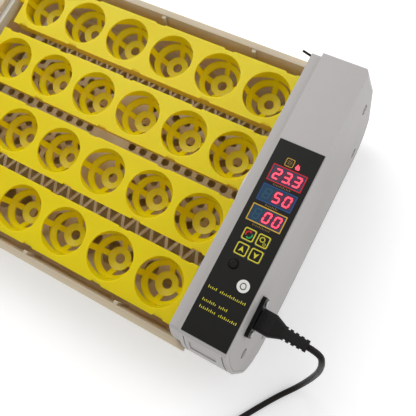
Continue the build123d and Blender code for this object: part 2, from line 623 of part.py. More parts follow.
# ---- rails that carry the pivots ------------------------------------------------
for name, rows in (("near", ROWS[:2]), ("back", ROWS[2:])):
    with BuildPart() as rail:
        with BuildSketch(Plane.YZ.offset(RAIL_X0)):
            with Locations(((rows[0] + rows[1]) / 2, PIVOT_Z + 1)):
                Rectangle(ROW_PITCH + 14, 10)
            for y in rows:
                with Locations((y, PIVOT_Z)):
                    Circle(6.5)
            for y in rows:
                with Locations((y, PIVOT_Z)):
                    Circle(PIVOT_R + RUN, mode=Mode.SUBTRACT)
        extrude(amount=RAIL_X1 - RAIL_X0)
    save(rail, f"{name}_pivot_rail")

with BuildPart() as far_rail:
    with BuildSketch(Plane.YZ.offset(FAR_RAIL_X0)):
        with Locations((0, PIVOT_Z + 1)):
            Rectangle(3 * ROW_PITCH + 14, 10)
        for y in ROWS:
            with Locations((y, PIVOT_Z)):
                Circle(6.5)
        for y in ROWS:
            with Locations((y, PIVOT_Z)):
                Circle(PIVOT_R + RUN, mode=Mode.SUBTRACT)
    extrude(amount=FAR_RAIL_X1 - FAR_RAIL_X0)
save(far_rail, "far_pivot_rail")

# ---- tie bar, crank and motor ------------------------------------------------------
LINK_DY = ARM_R * sin(radians(TILT))
LINK_Z = PIVOT_Z - ARM_R * cos(radians(TILT))
with BuildPart() as tie_bar:
    with BuildSketch(Plane.YZ.offset(LINK_X0)):
        with Locations((LINK_DY, LINK_Z)):
            SlotOverall(3 * ROW_PITCH + 12, 9)
        for y in ROWS + [0.0]:
            with Locations((y + LINK_DY, LINK_Z)):
                Circle(LINK_PIN_R + RUN, mode=Mode.SUBTRACT)
    extrude(amount=LINK_X1 - LINK_X0)
save(tie_bar, "tie_bar")

CRANK_X0, CRANK_X1 = 137.2, 140.2
with BuildPart() as turning_crank:
    with BuildSketch(Plane.YZ.offset(CRANK_X0)):
        with BuildLine():
            Polyline((-6, PIVOT_Z), (6, PIVOT_Z), (LINK_DY + 4.5, LINK_Z), (LINK_DY - 4.5, LINK_Z),
                     close=True)
        make_face()
        with Locations((0, PIVOT_Z)):
            Circle(7)
        with Locations((LINK_DY, LINK_Z)):
            Circle(4.5)
    extrude(amount=CRANK_X1 - CRANK_X0)
    pin_len = CRANK_X0 + 0.2 - LINK_X0 + 0.4
    add(cylinder_at((CRANK_X0 + 0.2, LINK_DY, LINK_Z), (-1, 0, 0), LINK_PIN_R, pin_len))
    add(cylinder_at((CRANK_X0 + 1, 0, PIVOT_Z), (1, 0, 0), 3.0, 21.0))
save(turning_crank, "turning_crank")

with BuildPart() as turning_motor:
    add(block(156.5, 178, -20, 20, PIVOT_Z - 48, PIVOT_Z + 7 - 19))
    add(block(156.5, 170, -13, 13, PIVOT_Z - 14, PIVOT_Z + 8))
    add(cylinder_at((150, 0, PIVOT_Z), (1, 0, 0), 3.0 + RUN, 10.5), mode=Mode.SUBTRACT)
    fillet(turning_motor.edges().filter_by(Axis.X).filter_by(lambda e: e.center().Z < 30), 2)
save(turning_motor, "turning_motor")

with BuildPart() as motor_bracket:
    add(block(COLLAR_X + SHELL, 156.5, -27, -21, PIVOT_Z - 40, PIVOT_Z - 20))
    add(block(COLLAR_X + SHELL, 156.5, 21, 27, PIVOT_Z - 40, PIVOT_Z - 20))
    add(block(154.6, 156.5, -27, 27, PIVOT_Z - 40, PIVOT_Z - 20))
save(motor_bracket, "motor_bracket")

# ---- mains inlet and its screws ------------------------------------------------------
with BuildPart() as power_inlet:
    with BuildSketch(INLET_P):
        RectangleRounded(INLET_W, INLET_H, 3.0)
    extrude(amount=INLET_T)
    with BuildSketch(INLET_P.offset(-13)):
        Rectangle(20, 12)
    extrude(amount=13)
    fillet(power_inlet.faces().sort_by(Axis.X)[-1].edges(), 0.5)
    with BuildSketch(INLET_P.offset(-9)):
        SlotOverall(14.8, 8.4)
        with Locations((-3.6, 0), (3.6, 0)):
            Circle(1.2, mode=Mode.SUBTRACT)
    extrude(amount=9 + INLET_T + 1, mode=Mode.SUBTRACT)
    with BuildSketch(INLET_P.offset(-1)):
        with Locations((-13.2, 0), (13.2, 0)):
            Circle(1.3)
    extrude(amount=INLET_T + 2, mode=Mode.SUBTRACT)
save(power_inlet, "power_inlet")

with BuildPart() as inlet_screws:
    for y in (-13.2, 13.2):
        with BuildSketch(INLET_P.offset(INLET_T)):
            with Locations((y, 0)):
                Circle(2.4)
        extrude(amount=1.0)
        with BuildSketch(INLET_P.offset(INLET_T + 0.1)):
            with Locations((y, 0)):
                Circle(1.2)
        extrude(amount=-8)
save(inlet_screws, "inlet_screws")

# ---- connector on the cord, cord, coil and mains plug ----------------------------------
PLUG_DIR = (cos(radians(PLUG_YAW)), -sin(radians(PLUG_YAW)), FACE_SLOPE * 0.6)
PLUG_FACE = INLET_T + 0.8
PLUG_P = Plane(origin=INLET_P.origin + INLET_P.z_dir * PLUG_FACE, x_dir=(sin(radians(PLUG_YAW)),
               cos(radians(PLUG_YAW)), 0), z_dir=PLUG_DIR)
PLUG_LEN = 41.1
with BuildPart() as cord_connector:
    with BuildSketch(PLUG_P):
        RectangleRounded(18.8, 12.4, 3.2)
    extrude(amount=11.5)
    with BuildSketch(PLUG_P.offset(11.4)):
        RectangleRounded(18.8, 12.4, 3.2)
    with BuildSketch(PLUG_P.offset(20.5)):
        RectangleRounded(11.4, 8.6, 2.8)
    loft()
    with BuildSketch(PLUG_P.offset(20.4)):
        RectangleRounded(11.4, 8.6, 2.8)
    with BuildSketch(PLUG_P.offset(PLUG_LEN)):
        RectangleRounded(9.6, 7.4, 2.4)
    loft()
    for step in range(4):                      # notches of the strain relief
        for side in (-1, 1):
            with BuildSketch(PLUG_P.offset(22.4 + 4.6 * step)):
                with Locations((side * 5.6, 0)):
                    Rectangle(3.0, 12)
            extrude(amount=2.2, mode=Mode.SUBTRACT)
    for step in range(3):                      # fine grip lines next to the inlet
        with BuildSketch(PLUG_P.offset(1.4 + 1.3 * step)):
            Rectangle(20, 14)
            RectangleRounded(18.0, 11.6, 2.8, mode=Mode.SUBTRACT)
        extrude(amount=0.5, mode=Mode.SUBTRACT)
    dimple = PLUG_P.origin + PLUG_P.z_dir * 8.0 + PLUG_P.y_dir * 5.8
    add(cylinder_at(dimple, PLUG_P.y_dir, 2.2, 1.0), mode=Mode.SUBTRACT)
    # nose inside the inlet's socket, with its two sleeves
    with BuildSketch(INLET_P.offset(-6.5)):
        SlotOverall(13.9, 7.5)
        with Locations((-3.6, 0), (3.6, 0)):
            Circle(1.6, mode=Mode.SUBTRACT)
    extrude(amount=6.5 + PLUG_FACE + 0.8)
save(cord_connector, "cord_connector")

EXIT = PLUG_P.origin + PLUG_P.z_dir * PLUG_LEN
ROUTE = [
    (EXIT.X, EXIT.Y, EXIT.Z), (EXIT.X + 11.0, EXIT.Y - 0.5, EXIT.Z - 0.3), (253.0, -95.5, 90.0),
    (254.5, -101.5, 68.0), (253.0, -107.5, 44.0), (250.0, -114.5, 20.0), (244.0, -124.5, 5.2),
    (232.0, -140.0, 2.7), (214.0, -168.0, 2.7), (196.0, -198.0, 2.7), (188.5, -229.0, 2.7),
]


def turn_radius(before, point, after):
    """As large an arc as the two runs at a point allow."""
    run_in, run_out = Vector(*point) - Vector(*before), Vector(*after) - Vector(*point)
    return 0.45 * min(run_in.length, run_out.length) / tan(radians(run_in.get_angle(run_out) / 2))


RADII = [turn_radius(*ROUTE[i - 1:i + 2]) for i in range(1, len(ROUTE) - 1)]
print("cord radii", [round(r, 1) for r in RADII])
with BuildPart() as power_cord:
    with BuildLine() as route:
        FilletPolyline(*ROUTE, radius=RADII)
    with BuildSketch(Plane(origin=ROUTE[0], z_dir=route.line % 0)):
        Circle(CORD_R)
    sweep(path=route.line)
section = 3.14159265 * CORD_R ** 2
length = sum(edge.length for edge in route.edges())
print("cord length", round(length, 1), "volume ratio", round(power_cord.part.volume / (section * length), 4),
      "lowest", round(power_cord.part.bounding_box().min.Z, 3))
save(power_cord, "power_cord")

with BuildPart() as cord_coil:
    with BuildSketch(Plane.XY):
        with Locations(COIL_C):
            Circle(COIL_R + COIL_HALF_W)
            Circle(COIL_R - COIL_HALF_W, mode=Mode.SUBTRACT)
    extrude(amount=COIL_H)
    fillet(cord_coil.edges().filter_by(GeomType.CIRCLE), 4.5)
save(cord_coil, "cord_coil")

TAIL = [(214.0, -273.2, 2.7), (232.0, -274.4, 3.2), (246.0, -277.6, 5.6), (256.0, -279.0, 6.8)]
with BuildPart() as cord_tail:
    with BuildLine() as tail_route:
        FilletPolyline(*TAIL, radius=[turn_radius(*TAIL[i - 1:i + 2]) for i in (1, 2)])
    with BuildSketch(Plane(origin=TAIL[0], z_dir=tail_route.line % 0)):
        Circle(CORD_R)
    sweep(path=tail_route.line)
save(cord_tail, "cord_tail")

with BuildPart() as cord_tie:
    x, y = COIL_C[0] + COIL_R, COIL_C[1]
    add(block(x - COIL_HALF_W - 1.3, x + COIL_HALF_W + 1.3, y - 3, y + 3, 0, COIL_H + 1.3))
    fillet(cord_tie.edges().filter_by(Axis.Y).group_by(Axis.Z)[-1], 4)
    with BuildSketch(Plane.XZ.offset(-y - 5)):
        with Locations((x, COIL_H / 2)):
            RectangleRounded(2 * COIL_HALF_W + 0.5, COIL_H + 0.5, 4.3)
    extrude(amount=10, mode=Mode.SUBTRACT)
save(cord_tie, "cord_tie")

PLUG2 = Plane(origin=(TAIL[-1][0] - 0.5, TAIL[-1][1], 6.9), x_dir=(0, 1, 0), z_dir=(1, 0, 0))
with BuildPart() as mains_plug:
    with BuildSketch(PLUG2):
        RectangleRounded(9.5, 8.6, 2.6)
    with BuildSketch(PLUG2.offset(16)):
        RectangleRounded(25, 13.6, 4.5)
    loft()
    with BuildSketch(PLUG2.offset(15.9)):
        RectangleRounded(25, 13.6, 4.5)
    extrude(amount=18.1)
    with BuildSketch(PLUG2.offset(30)):
        with Locations((-9.3, 0), (9.3, 0)):
            Circle(2.0)
    extrude(amount=8, mode=Mode.SUBTRACT)
save(mains_plug, "mains_plug")

with BuildPart() as plug_pins:
    for y in (-9.3, 9.3):
        with BuildSketch(PLUG2.offset(30)):
            with Locations((y, 0)):
                Circle(1.97)
        extrude(amount=23)
    fillet(plug_pins.faces().group_by(Axis.X)[-1].edges(), 0.9)
save(plug_pins, "plug_pins")
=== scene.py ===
"""Egg incubator: finishes, printed panel, lit displays, mains lead and studio."""
import logging
import math
from dataclasses import dataclass, field
from enum import Enum
from typing import Optional, Sequence

import bmesh
import bpy
from mathutils import Matrix, Vector


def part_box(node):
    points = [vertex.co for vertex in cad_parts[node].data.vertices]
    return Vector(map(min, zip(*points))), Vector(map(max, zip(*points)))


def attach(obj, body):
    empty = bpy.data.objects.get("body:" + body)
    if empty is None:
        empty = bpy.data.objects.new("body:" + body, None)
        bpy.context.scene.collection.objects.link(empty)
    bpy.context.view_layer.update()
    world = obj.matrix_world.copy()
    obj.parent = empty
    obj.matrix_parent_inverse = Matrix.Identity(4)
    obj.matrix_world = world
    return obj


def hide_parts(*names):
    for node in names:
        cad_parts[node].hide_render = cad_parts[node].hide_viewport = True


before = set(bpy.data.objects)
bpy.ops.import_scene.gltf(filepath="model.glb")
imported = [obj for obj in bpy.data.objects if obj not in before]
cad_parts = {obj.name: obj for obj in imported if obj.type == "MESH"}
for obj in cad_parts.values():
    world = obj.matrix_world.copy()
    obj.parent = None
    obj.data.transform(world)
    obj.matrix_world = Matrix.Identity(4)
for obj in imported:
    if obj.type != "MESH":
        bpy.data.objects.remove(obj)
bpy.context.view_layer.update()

logging.basicConfig(level=logging.INFO, format="%(name)s: %(message)s")
log = logging.getLogger("incubator")

MM = 0.001
HOUSING, CORD_BODY = "housing", "cord_set"
PRINT_T = 0.06 * MM       # printed ink and foil, thick enough to be a real mesh
Point = tuple[float, float]
Outline = list[Point]


# ---- colour and shader helpers ---------------------------------------------

def linear(hex_code: str, alpha: float = 1.0) -> tuple[float, float, float, float]:
    """Turn an sRGB hex code into linear RGBA.

    Args:
        hex_code: colour as "rrggbb".
        alpha: opacity to append.

    Returns:
        Linear red, green, blue and alpha.
    """
    values = [int(hex_code[i:i + 2], 16) / 255 for i in (0, 2, 4)]
    r, g, b = (v / 12.92 if v <= 0.04045 else ((v + 0.055) / 1.055) ** 2.4 for v in values)
    return r, g, b, alpha


def add_node(tree: bpy.types.NodeTree, kind: str, settings: Optional[dict] = None,
             inputs: Optional[dict] = None) -> bpy.types.Node:
    """Add a shader node with its settings and links.

    Args:
        tree: node tree that gets the node.
        kind: node type, such as "ShaderNodeTexNoise".
        settings: attributes to set on the node.
        inputs: socket name or index to a constant or to another node's output socket.

    Returns:
        The new node.
    """
    node = tree.nodes.new(kind)
    for name, value in (settings or {}).items():
        setattr(node, name, value)
    for name, value in (inputs or {}).items():
        if isinstance(value, bpy.types.NodeSocket):
            tree.links.new(value, node.inputs[name])
        else:
            node.inputs[name].default_value = value
    return node


@dataclass(frozen=True)
class Finish:
    """A surface: what it is made of and how it was made.

    Args:
        name: material name, after the real material and its process.
        colour, second: close sRGB colours that drift into each other.
        roughness, spread: middle roughness and how far it wanders.
        specular: specular level, 0.5 for an ordinary plastic.
        ior, metallic: as the real material has them.
        drift_mm: size of the colour drift.
        grain_mm, grain_um: size and height of the surface grain.
        stretch: how much finer the patterns are along each axis.
        subsurface, radius_mm: share of light that travels inside, and how far.
        transmission: share of light that passes through.
        coat: weight of a clear top coat.
        glow: strength of its own light.
    """

    name: str
    colour: str
    second: str
    roughness: float
    spread: float = 0.05
    specular: float = 0.5
    ior: float = 1.5
    metallic: float = 0.0
    drift_mm: float = 60.0
    grain_mm: float = 1.2
    grain_um: float = 6.0
    stretch: tuple[float, float, float] = (1.0, 1.0, 1.0)
    subsurface: float = 0.0
    radius_mm: tuple[float, float, float] = (3.0, 2.0, 1.0)
    transmission: float = 0.0
    coat: float = 0.0
    glow: float = 0.0

    def make(self) -> bpy.types.Material:
        """Build the material, or find it if it has been built.

        Returns:
            The material.
        """
        known = bpy.data.materials.get(self.name)
        if known:
            return known
        material = bpy.data.materials.new(self.name)
        material.use_nodes = True
        tree = material.node_tree
        shader = tree.nodes["Principled BSDF"]
        place = add_node(tree, "ShaderNodeTexCoord").outputs["Object"]
        place = add_node(tree, "ShaderNodeMapping", {"vector_type": "POINT"},
                         {"Vector": place, "Scale": self.stretch}).outputs["Vector"]
        drift = add_node(tree, "ShaderNodeTexNoise", inputs={
            "Vector": place, "Scale": 1 / (self.drift_mm * MM), "Detail": 4.0,
            "Roughness": 0.55}).outputs["Fac"]
        mix = add_node(tree, "ShaderNodeMix", {"data_type": "RGBA"}, {0: drift})
        mix.inputs["A"].default_value = linear(self.colour)
        mix.inputs["B"].default_value = linear(self.second)
        colour = mix.outputs["Result"]
        grain = add_node(tree, "ShaderNodeTexNoise", inputs={
            "Vector": place, "Scale": 1 / (self.grain_mm * MM), "Detail": 3.0}).outputs["Fac"]
        rough = add_node(tree, "ShaderNodeMapRange", inputs={
            "Value": drift, "From Min": 0.3, "From Max": 0.7,
            "To Min": max(self.roughness - self.spread, 0.02),
            "To Max": min(self.roughness + self.spread, 1.0)}).outputs["Result"]
        bump = add_node(tree, "ShaderNodeBump", inputs={
            "Height": grain, "Distance": self.grain_um * 1e-6, "Strength": 1.0}).outputs["Normal"]
        tree.links.new(colour, shader.inputs["Base Color"])
        tree.links.new(rough, shader.inputs["Roughness"])
        tree.links.new(bump, shader.inputs["Normal"])
        shader.inputs["Metallic"].default_value = self.metallic
        shader.inputs["IOR"].default_value = self.ior
        shader.inputs["Specular IOR Level"].default_value = self.specular
        shader.inputs["Coat Weight"].default_value = self.coat
        shader.inputs["Coat Roughness"].default_value = 0.12
        shader.inputs["Transmission Weight"].default_value = self.transmission
        shader.inputs["Subsurface Weight"].default_value = self.subsurface
        shader.inputs["Subsurface Radius"].default_value = [r * MM for r in self.radius_mm]
        shader.inputs["Subsurface Scale"].default_value = 1.0
        if self.glow:
            tree.links.new(colour, shader.inputs["Emission Color"])
            shader.inputs["Emission Strength"].default_value = self.glow
        return material


# Injection-moulded polypropylene dyed yellow: waxy gloss, light travels a little way in.
TRAY_PP = Finish("tray_yellow_pp_moulded", "fbd608", "f5ce06", 0.34, 0.06, 0.25, 1.49, drift_mm=70,
                 grain_mm=1.6, grain_um=9, subsurface=0.8, radius_mm=(8.0, 5.0, 0.6))
# Natural polypropylene, thin wall: milky, warm light shows through it.
TUB_PP = Finish("tub_natural_pp_moulded", "d6ccb8", "ccbfa4", 0.38, 0.06, 0.4, 1.49, drift_mm=90,
                grain_mm=2.0, grain_um=8, subsurface=0.5, radius_mm=(9.0, 6.0, 3.0), transmission=0.22)
# ABS moulded against a lightly blasted tool: even, soft highlight.
HOUSING_ABS = Finish("housing_grey_abs_moulded", "bab6b4", "b3afad", 0.46, 0.05, 0.4, 1.53, drift_mm=110,
                     grain_mm=0.7, grain_um=12)
# The same ABS from another tool: a touch darker and duller.
COVER_ABS = Finish("cover_grey_abs_moulded", "b5b1af", "ada9a7", 0.50, 0.05, 0.4, 1.53, drift_mm=90,
                   grain_mm=0.7, grain_um=12)
# Off-white polypropylene floor: pale, soft edges to the holes.
GRILLE_PP = Finish("grille_offwhite_pp_moulded", "f0e4c6", "e8d8b2", 0.48, 0.08, 0.4, 1.49, drift_mm=40,
                   grain_mm=1.4, grain_um=14, subsurface=0.2, radius_mm=(2.0, 1.4, 0.7))
# The same polypropylene, thicker, coloured a darker straw: painted shade under the floor and painted warm light bounced
# off the yellow trays.
WATER_PP_WARM_SHADE = Finish("water_tray_pp_painted_warm_shade", "dcc48c", "cfb478", 0.40, 0.08, 0.4, 1.49, drift_mm=55,
                  grain_mm=1.6, grain_um=10, subsurface=0.2)
# Screen-printed polyester film with a satin face.
PANEL_FILM = Finish("panel_black_polyester_film", "171715", "1c1b18", 0.42, 0.05, 0.14, 1.55, drift_mm=30,
                    grain_mm=0.35, grain_um=5)
# Polyester domes: the same black, slightly glossier.
KEY_FILM = Finish("key_black_polyester_dome", "171613", "1c1b17", 0.38, 0.05, 0.14, 1.55, drift_mm=9,
                  grain_mm=0.35, grain_um=5)
# Smoked acrylic over unlit LED blocks: blue-grey and glassy.
LENS_ACRYLIC = Finish("lens_smoked_acrylic_cast", "1f4560", "183a54", 0.12, 0.03, 0.3, 1.49, drift_mm=14,
                      grain_mm=3.0, grain_um=2, coat=0.2)
# Potted epoxy: dark, even, no clear highlight.
LED_CASE = Finish("display_epoxy_potted", "2a2c33", "23252b", 0.5, 0.05, 0.4, 1.55, drift_mm=12)
# Black ABS off a textured tool: deep, with a broad weak sheen.
BLACK_ABS = Finish("black_abs_moulded", "131211", "191816", 0.40, 0.07, 0.14, 1.53, drift_mm=18,
                   grain_mm=0.6, grain_um=12)
# Plasticised PVC: dark, slightly brown, waxy highlight.
CORD_PVC = Finish("cord_pvc_extruded", "171411", "1d1815", 0.44, 0.08, 0.22, 1.52, drift_mm=22,
                  grain_mm=0.9, grain_um=12)
# The same PVC moulded over metal: finely grained and a little duller.
PLUG_PVC = Finish("plug_pvc_overmoulded", "151413", "1b1a18", 0.46, 0.07, 0.18, 1.52, drift_mm=12,
                  grain_mm=0.5, grain_um=16)
# Rubber: matt and grey-black.
FOOT_RUBBER = Finish("foot_rubber_moulded", "262524", "2e2c2a", 0.8, 0.06, 0.3, 1.52, drift_mm=8,
                     grain_mm=0.6, grain_um=25)
# Metals: zinc-plated screws, a pressed can with drawing marks, plated pins.
ZINC_STEEL = Finish("screw_steel_zinc_plated", "c4c3bd", "aeaca4", 0.3, 0.1, metallic=1.0, drift_mm=3,
                    grain_mm=0.3, grain_um=4)
MOTOR_STEEL = Finish("motor_can_pressed_steel", "9b9c9e", "8a8b8e", 0.36, 0.1, metallic=1.0, drift_mm=16,
                     grain_mm=0.5, grain_um=6, stretch=(1.0, 8.0, 1.0))
NICKEL_PIN = Finish("pin_nickel_plated_brass", "cfc8b8", "bfb6a2", 0.18, 0.06, metallic=1.0, drift_mm=5,
                    grain_mm=0.4, grain_um=2)
# Glass-epoxy laminate under green solder mask.
BOARD = Finish("board_glass_epoxy_masked", "1f6b35", "1a5c2d", 0.32, 0.06, ior=1.55, drift_mm=6,
               grain_mm=0.8, grain_um=10)
# White acetal, moulded: slightly waxy.
ACETAL = Finish("linkage_white_acetal_moulded", "e0dcd2", "d6d1c4", 0.32, 0.05, 0.4, 1.48, drift_mm=24,
                grain_mm=0.9, grain_um=6, subsurface=0.2, radius_mm=(1.5, 1.3, 1.0))
# Fired ceramic sheath: chalky, with scorched patches.
HEATER_SHEATH = Finish("heater_sheath_ceramic", "cfc6b4", "b8a98f", 0.55, 0.1, ior=1.55, drift_mm=7,
                       grain_mm=0.6, grain_um=18)
# Screen-printed inks: flat colour with a faint grain, no gloss of their own.
GOLD_INK = Finish("ink_pale_gold_screened", "957c3c", "887036", 0.5, 0.05, 0.2, drift_mm=4, grain_um=3)
YELLOW_INK = Finish("ink_yellow_screened", "d6cc40", "cbbf38", 0.46, 0.05, 0.2, drift_mm=4, grain_um=3)
ORANGE_INK = Finish("ink_orange_screened", "d4ae3c", "c99836", 0.46, 0.05, 0.2, drift_mm=6, grain_um=3)
RED_INK = Finish("ink_red_screened", "c8202a", "b81c26", 0.46, 0.05, 0.2, drift_mm=5, grain_um=3)
BLUE_INK = Finish("ink_blue_screened", "2d4d85", "284577", 0.46, 0.05, 0.2, drift_mm=5, grain_um=3)
GREEN_INK = Finish("ink_green_screened", "2b9a55", "248a4a", 0.46, 0.05, 0.2, drift_mm=4, grain_um=3)
WHITE_INK = Finish("ink_white_foil", "e9e8e4", "dedcd6", 0.3, 0.05, drift_mm=4, grain_um=3)
GREY_INK = Finish("ink_grey_screened", "4a4a46", "42423f", 0.4, 0.05, 0.3, drift_mm=4, grain_um=3)
# Lit segments, their glow in the acrylic around them, and the segments that are off.
LIT_RED = Finish("led_segment_lit", "ff2a44", "ff4a5e", 0.3, 0.05, drift_mm=2.2, grain_um=2, glow=1.6)
LIT_HALO = Finish("led_glow_in_acrylic", "5a2038", "40203a", 0.3, 0.05, 0.3, drift_mm=3, grain_um=2, glow=0.2)
GHOST = Finish("led_segment_unlit", "1c4a60", "1a4458", 0.3, 0.05, 0.3, drift_mm=3, grain_um=2)
# Matt paint, lifted a little so that it stays pale under soft light.
FLOOR_PAINT = Finish("floor_matt_paint", "fbfbfb", "f9f9f9", 0.9, 0.02, 0.2, drift_mm=400, glow=0.30)


class Corner(Enum):
    """Corner radius in mm of a printed outline."""

    TIGHT = 0.35
    LAMP = 1.2
    KEY = 1.6


# ---- mesh helpers -----------------------------------------------------------

def piece_from(name: str, mesh: bmesh.types.BMesh, finish: Finish, body: str) -> bpy.types.Object:
    """Turn a bmesh into a finished piece that rides on a body.

    Args:
        name: piece name.
        mesh: geometry in metres, freed here.
        finish: surface to give it.
        body: CAD body that it moves with.

    Returns:
        The new object.
    """
    data = bpy.data.meshes.new(name)
    bmesh.ops.recalc_face_normals(mesh, faces=mesh.faces)
    mesh.to_mesh(data)
    mesh.free()
    piece = bpy.data.objects.new(name, data)
    bpy.context.scene.collection.objects.link(piece)
    data.materials.append(finish.make())
    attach(piece, body)
    log.info("%s rides on %s", name, body)
    return piece


def add_slab(mesh: bmesh.types.BMesh, outline: Sequence[Point], z: float, depth: float,
             hole: Optional[Sequence[Point]] = None) -> None:
    """Add a thin slab with a given outline, in millimetres in plan.

    Args:
        mesh: bmesh that gets it.
        outline: corner points (x, y) in mm, counter-clockwise.
        z: height of its underside in metres.
        depth: thickness in metres.
        hole: inner outline with as many points, for a frame.
    """
    rings = []
    for points in (outline, hole) if hole else (outline,):
        for level in (z, z + depth):
            rings.append([mesh.verts.new((x * MM, y * MM, level)) for x, y in points])
    count = len(outline)
    for ring_pair in range(0, len(rings), 2):
        low, high = rings[ring_pair], rings[ring_pair + 1]
        for i in range(count):
            j = (i + 1) % count
            mesh.faces.new((low[i], low[j], high[j], high[i]))
    if hole:
        for outer, inner in ((rings[0], rings[2]), (rings[1], rings[3])):
            for i in range(count):
                j = (i + 1) % count
                mesh.faces.new((outer[i], outer[j], inner[j], inner[i]))
    else:
        mesh.faces.new(rings[0])
        mesh.faces.new(rings[1])


def rounded(cx: float, cy: float, w: float, h: float, r: float, steps: int = 5) -> Outline:
    """Outline of a rectangle with round corners.

    Args:
        cx, cy: centre in mm.
        w, h: full width and height in mm.
        r: corner radius in mm.
        steps: points per corner.

    Returns:
        Points counter-clockwise.
    """
    points = []
    for quarter, (sx, sy) in enumerate(((1, 1), (-1, 1), (-1, -1), (1, -1))):
        for step in range(steps):
            angle = math.pi / 2 * (quarter + step / (steps - 1))
            points.append((cx + sx * (w / 2 - r) + r * math.cos(angle),
                           cy + sy * (h / 2 - r) + r * math.sin(angle)))
    return points


def around(cx: float, cy: float, r: float, degrees: float) -> Point:
    """Point on a circle.

    Args:
        cx, cy: centre in mm.
        r: radius in mm.
        degrees: angle from +X, counter-clockwise.

    Returns:
        The point in mm.
    """
    angle = math.radians(degrees)
    return cx + r * math.cos(angle), cy + r * math.sin(angle)


def disc(cx: float, cy: float, r: float, steps: int = 40) -> Outline:
    """Outline of a round spot.

    Args:
        cx, cy: centre in mm.
        r: radius in mm.
        steps: points round it.

    Returns:
        Points counter-clockwise.
    """
    return [around(cx, cy, r, 360 / steps * i) for i in range(steps)]


def shifted(points: Sequence[Point], cx: float, cy: float, scale: float = 1.0) -> Outline:
    """The same outline about another centre.

    Args:
        points: outline about the origin, in mm.
        cx, cy: new centre in mm.
        scale: how much larger it gets.

    Returns:
        The moved outline.
    """
    return [(cx + x * scale, cy + y * scale) for x, y in points]


# ---- sub-assemblies ----------------------------------------------------------

@dataclass
class Dresser:
    """Gives every CAD node its finish."""

    finishes: dict[str, Finish] = field(default_factory=lambda: {
        "base_tub": TUB_PP, "rubber_feet": FOOT_RUBBER, "water_tray": WATER_PP_WARM_SHADE, "floor_grille": GRILLE_PP,
        "control_housing": HOUSING_ABS, "end_cover": COVER_ABS, "cover_screws": ZINC_STEEL,
        "lid_hinge_pin": BLACK_ABS, "control_panel": PANEL_FILM, "display_lenses": LENS_ACRYLIC,
        "temperature_display": LED_CASE, "humidity_display": LED_CASE, "day_display": LED_CASE,
        "mode_button": KEY_FILM, "set_button": KEY_FILM, "up_button": KEY_FILM, "down_button": KEY_FILM,
        "power_button": BLACK_ABS, "key_switches": BLACK_ABS, "main_board": BOARD, "board_screws": ZINC_STEEL,
        "alarm_buzzer": BLACK_ABS, "power_board": BOARD, "power_board_posts": ACETAL,
        "transformer": MOTOR_STEEL, "fuse_holder": BLACK_ABS, "fan_frame": BLACK_ABS, "fan_rotor": BLACK_ABS,
        "fan_guard": ACETAL, "heater_element": HEATER_SHEATH, "heater_clips": ACETAL, "air_sensor": ACETAL,
        "egg_tray_1": TRAY_PP, "egg_tray_2": TRAY_PP, "egg_tray_3": TRAY_PP, "egg_tray_4": TRAY_PP,
        "near_pivot_rail": ACETAL, "back_pivot_rail": ACETAL, "far_pivot_rail": ACETAL, "tie_bar": ACETAL,
        "turning_crank": ACETAL, "turning_motor": MOTOR_STEEL, "motor_bracket": ZINC_STEEL,
        "power_inlet": BLACK_ABS, "inlet_screws": ZINC_STEEL, "cord_connector": PLUG_PVC,
        "cord_tie": BLACK_ABS, "mains_plug": PLUG_PVC, "plug_pins": NICKEL_PIN,
    })

    def build(self) -> None:
        """Put each finish on its node's material slots."""
        for node, finish in self.finishes.items():
            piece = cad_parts[node]
            material = finish.make()
            for index in range(len(piece.material_slots)):
                piece.material_slots[index].material = material
            log.info("%s is %s", node, finish.name)


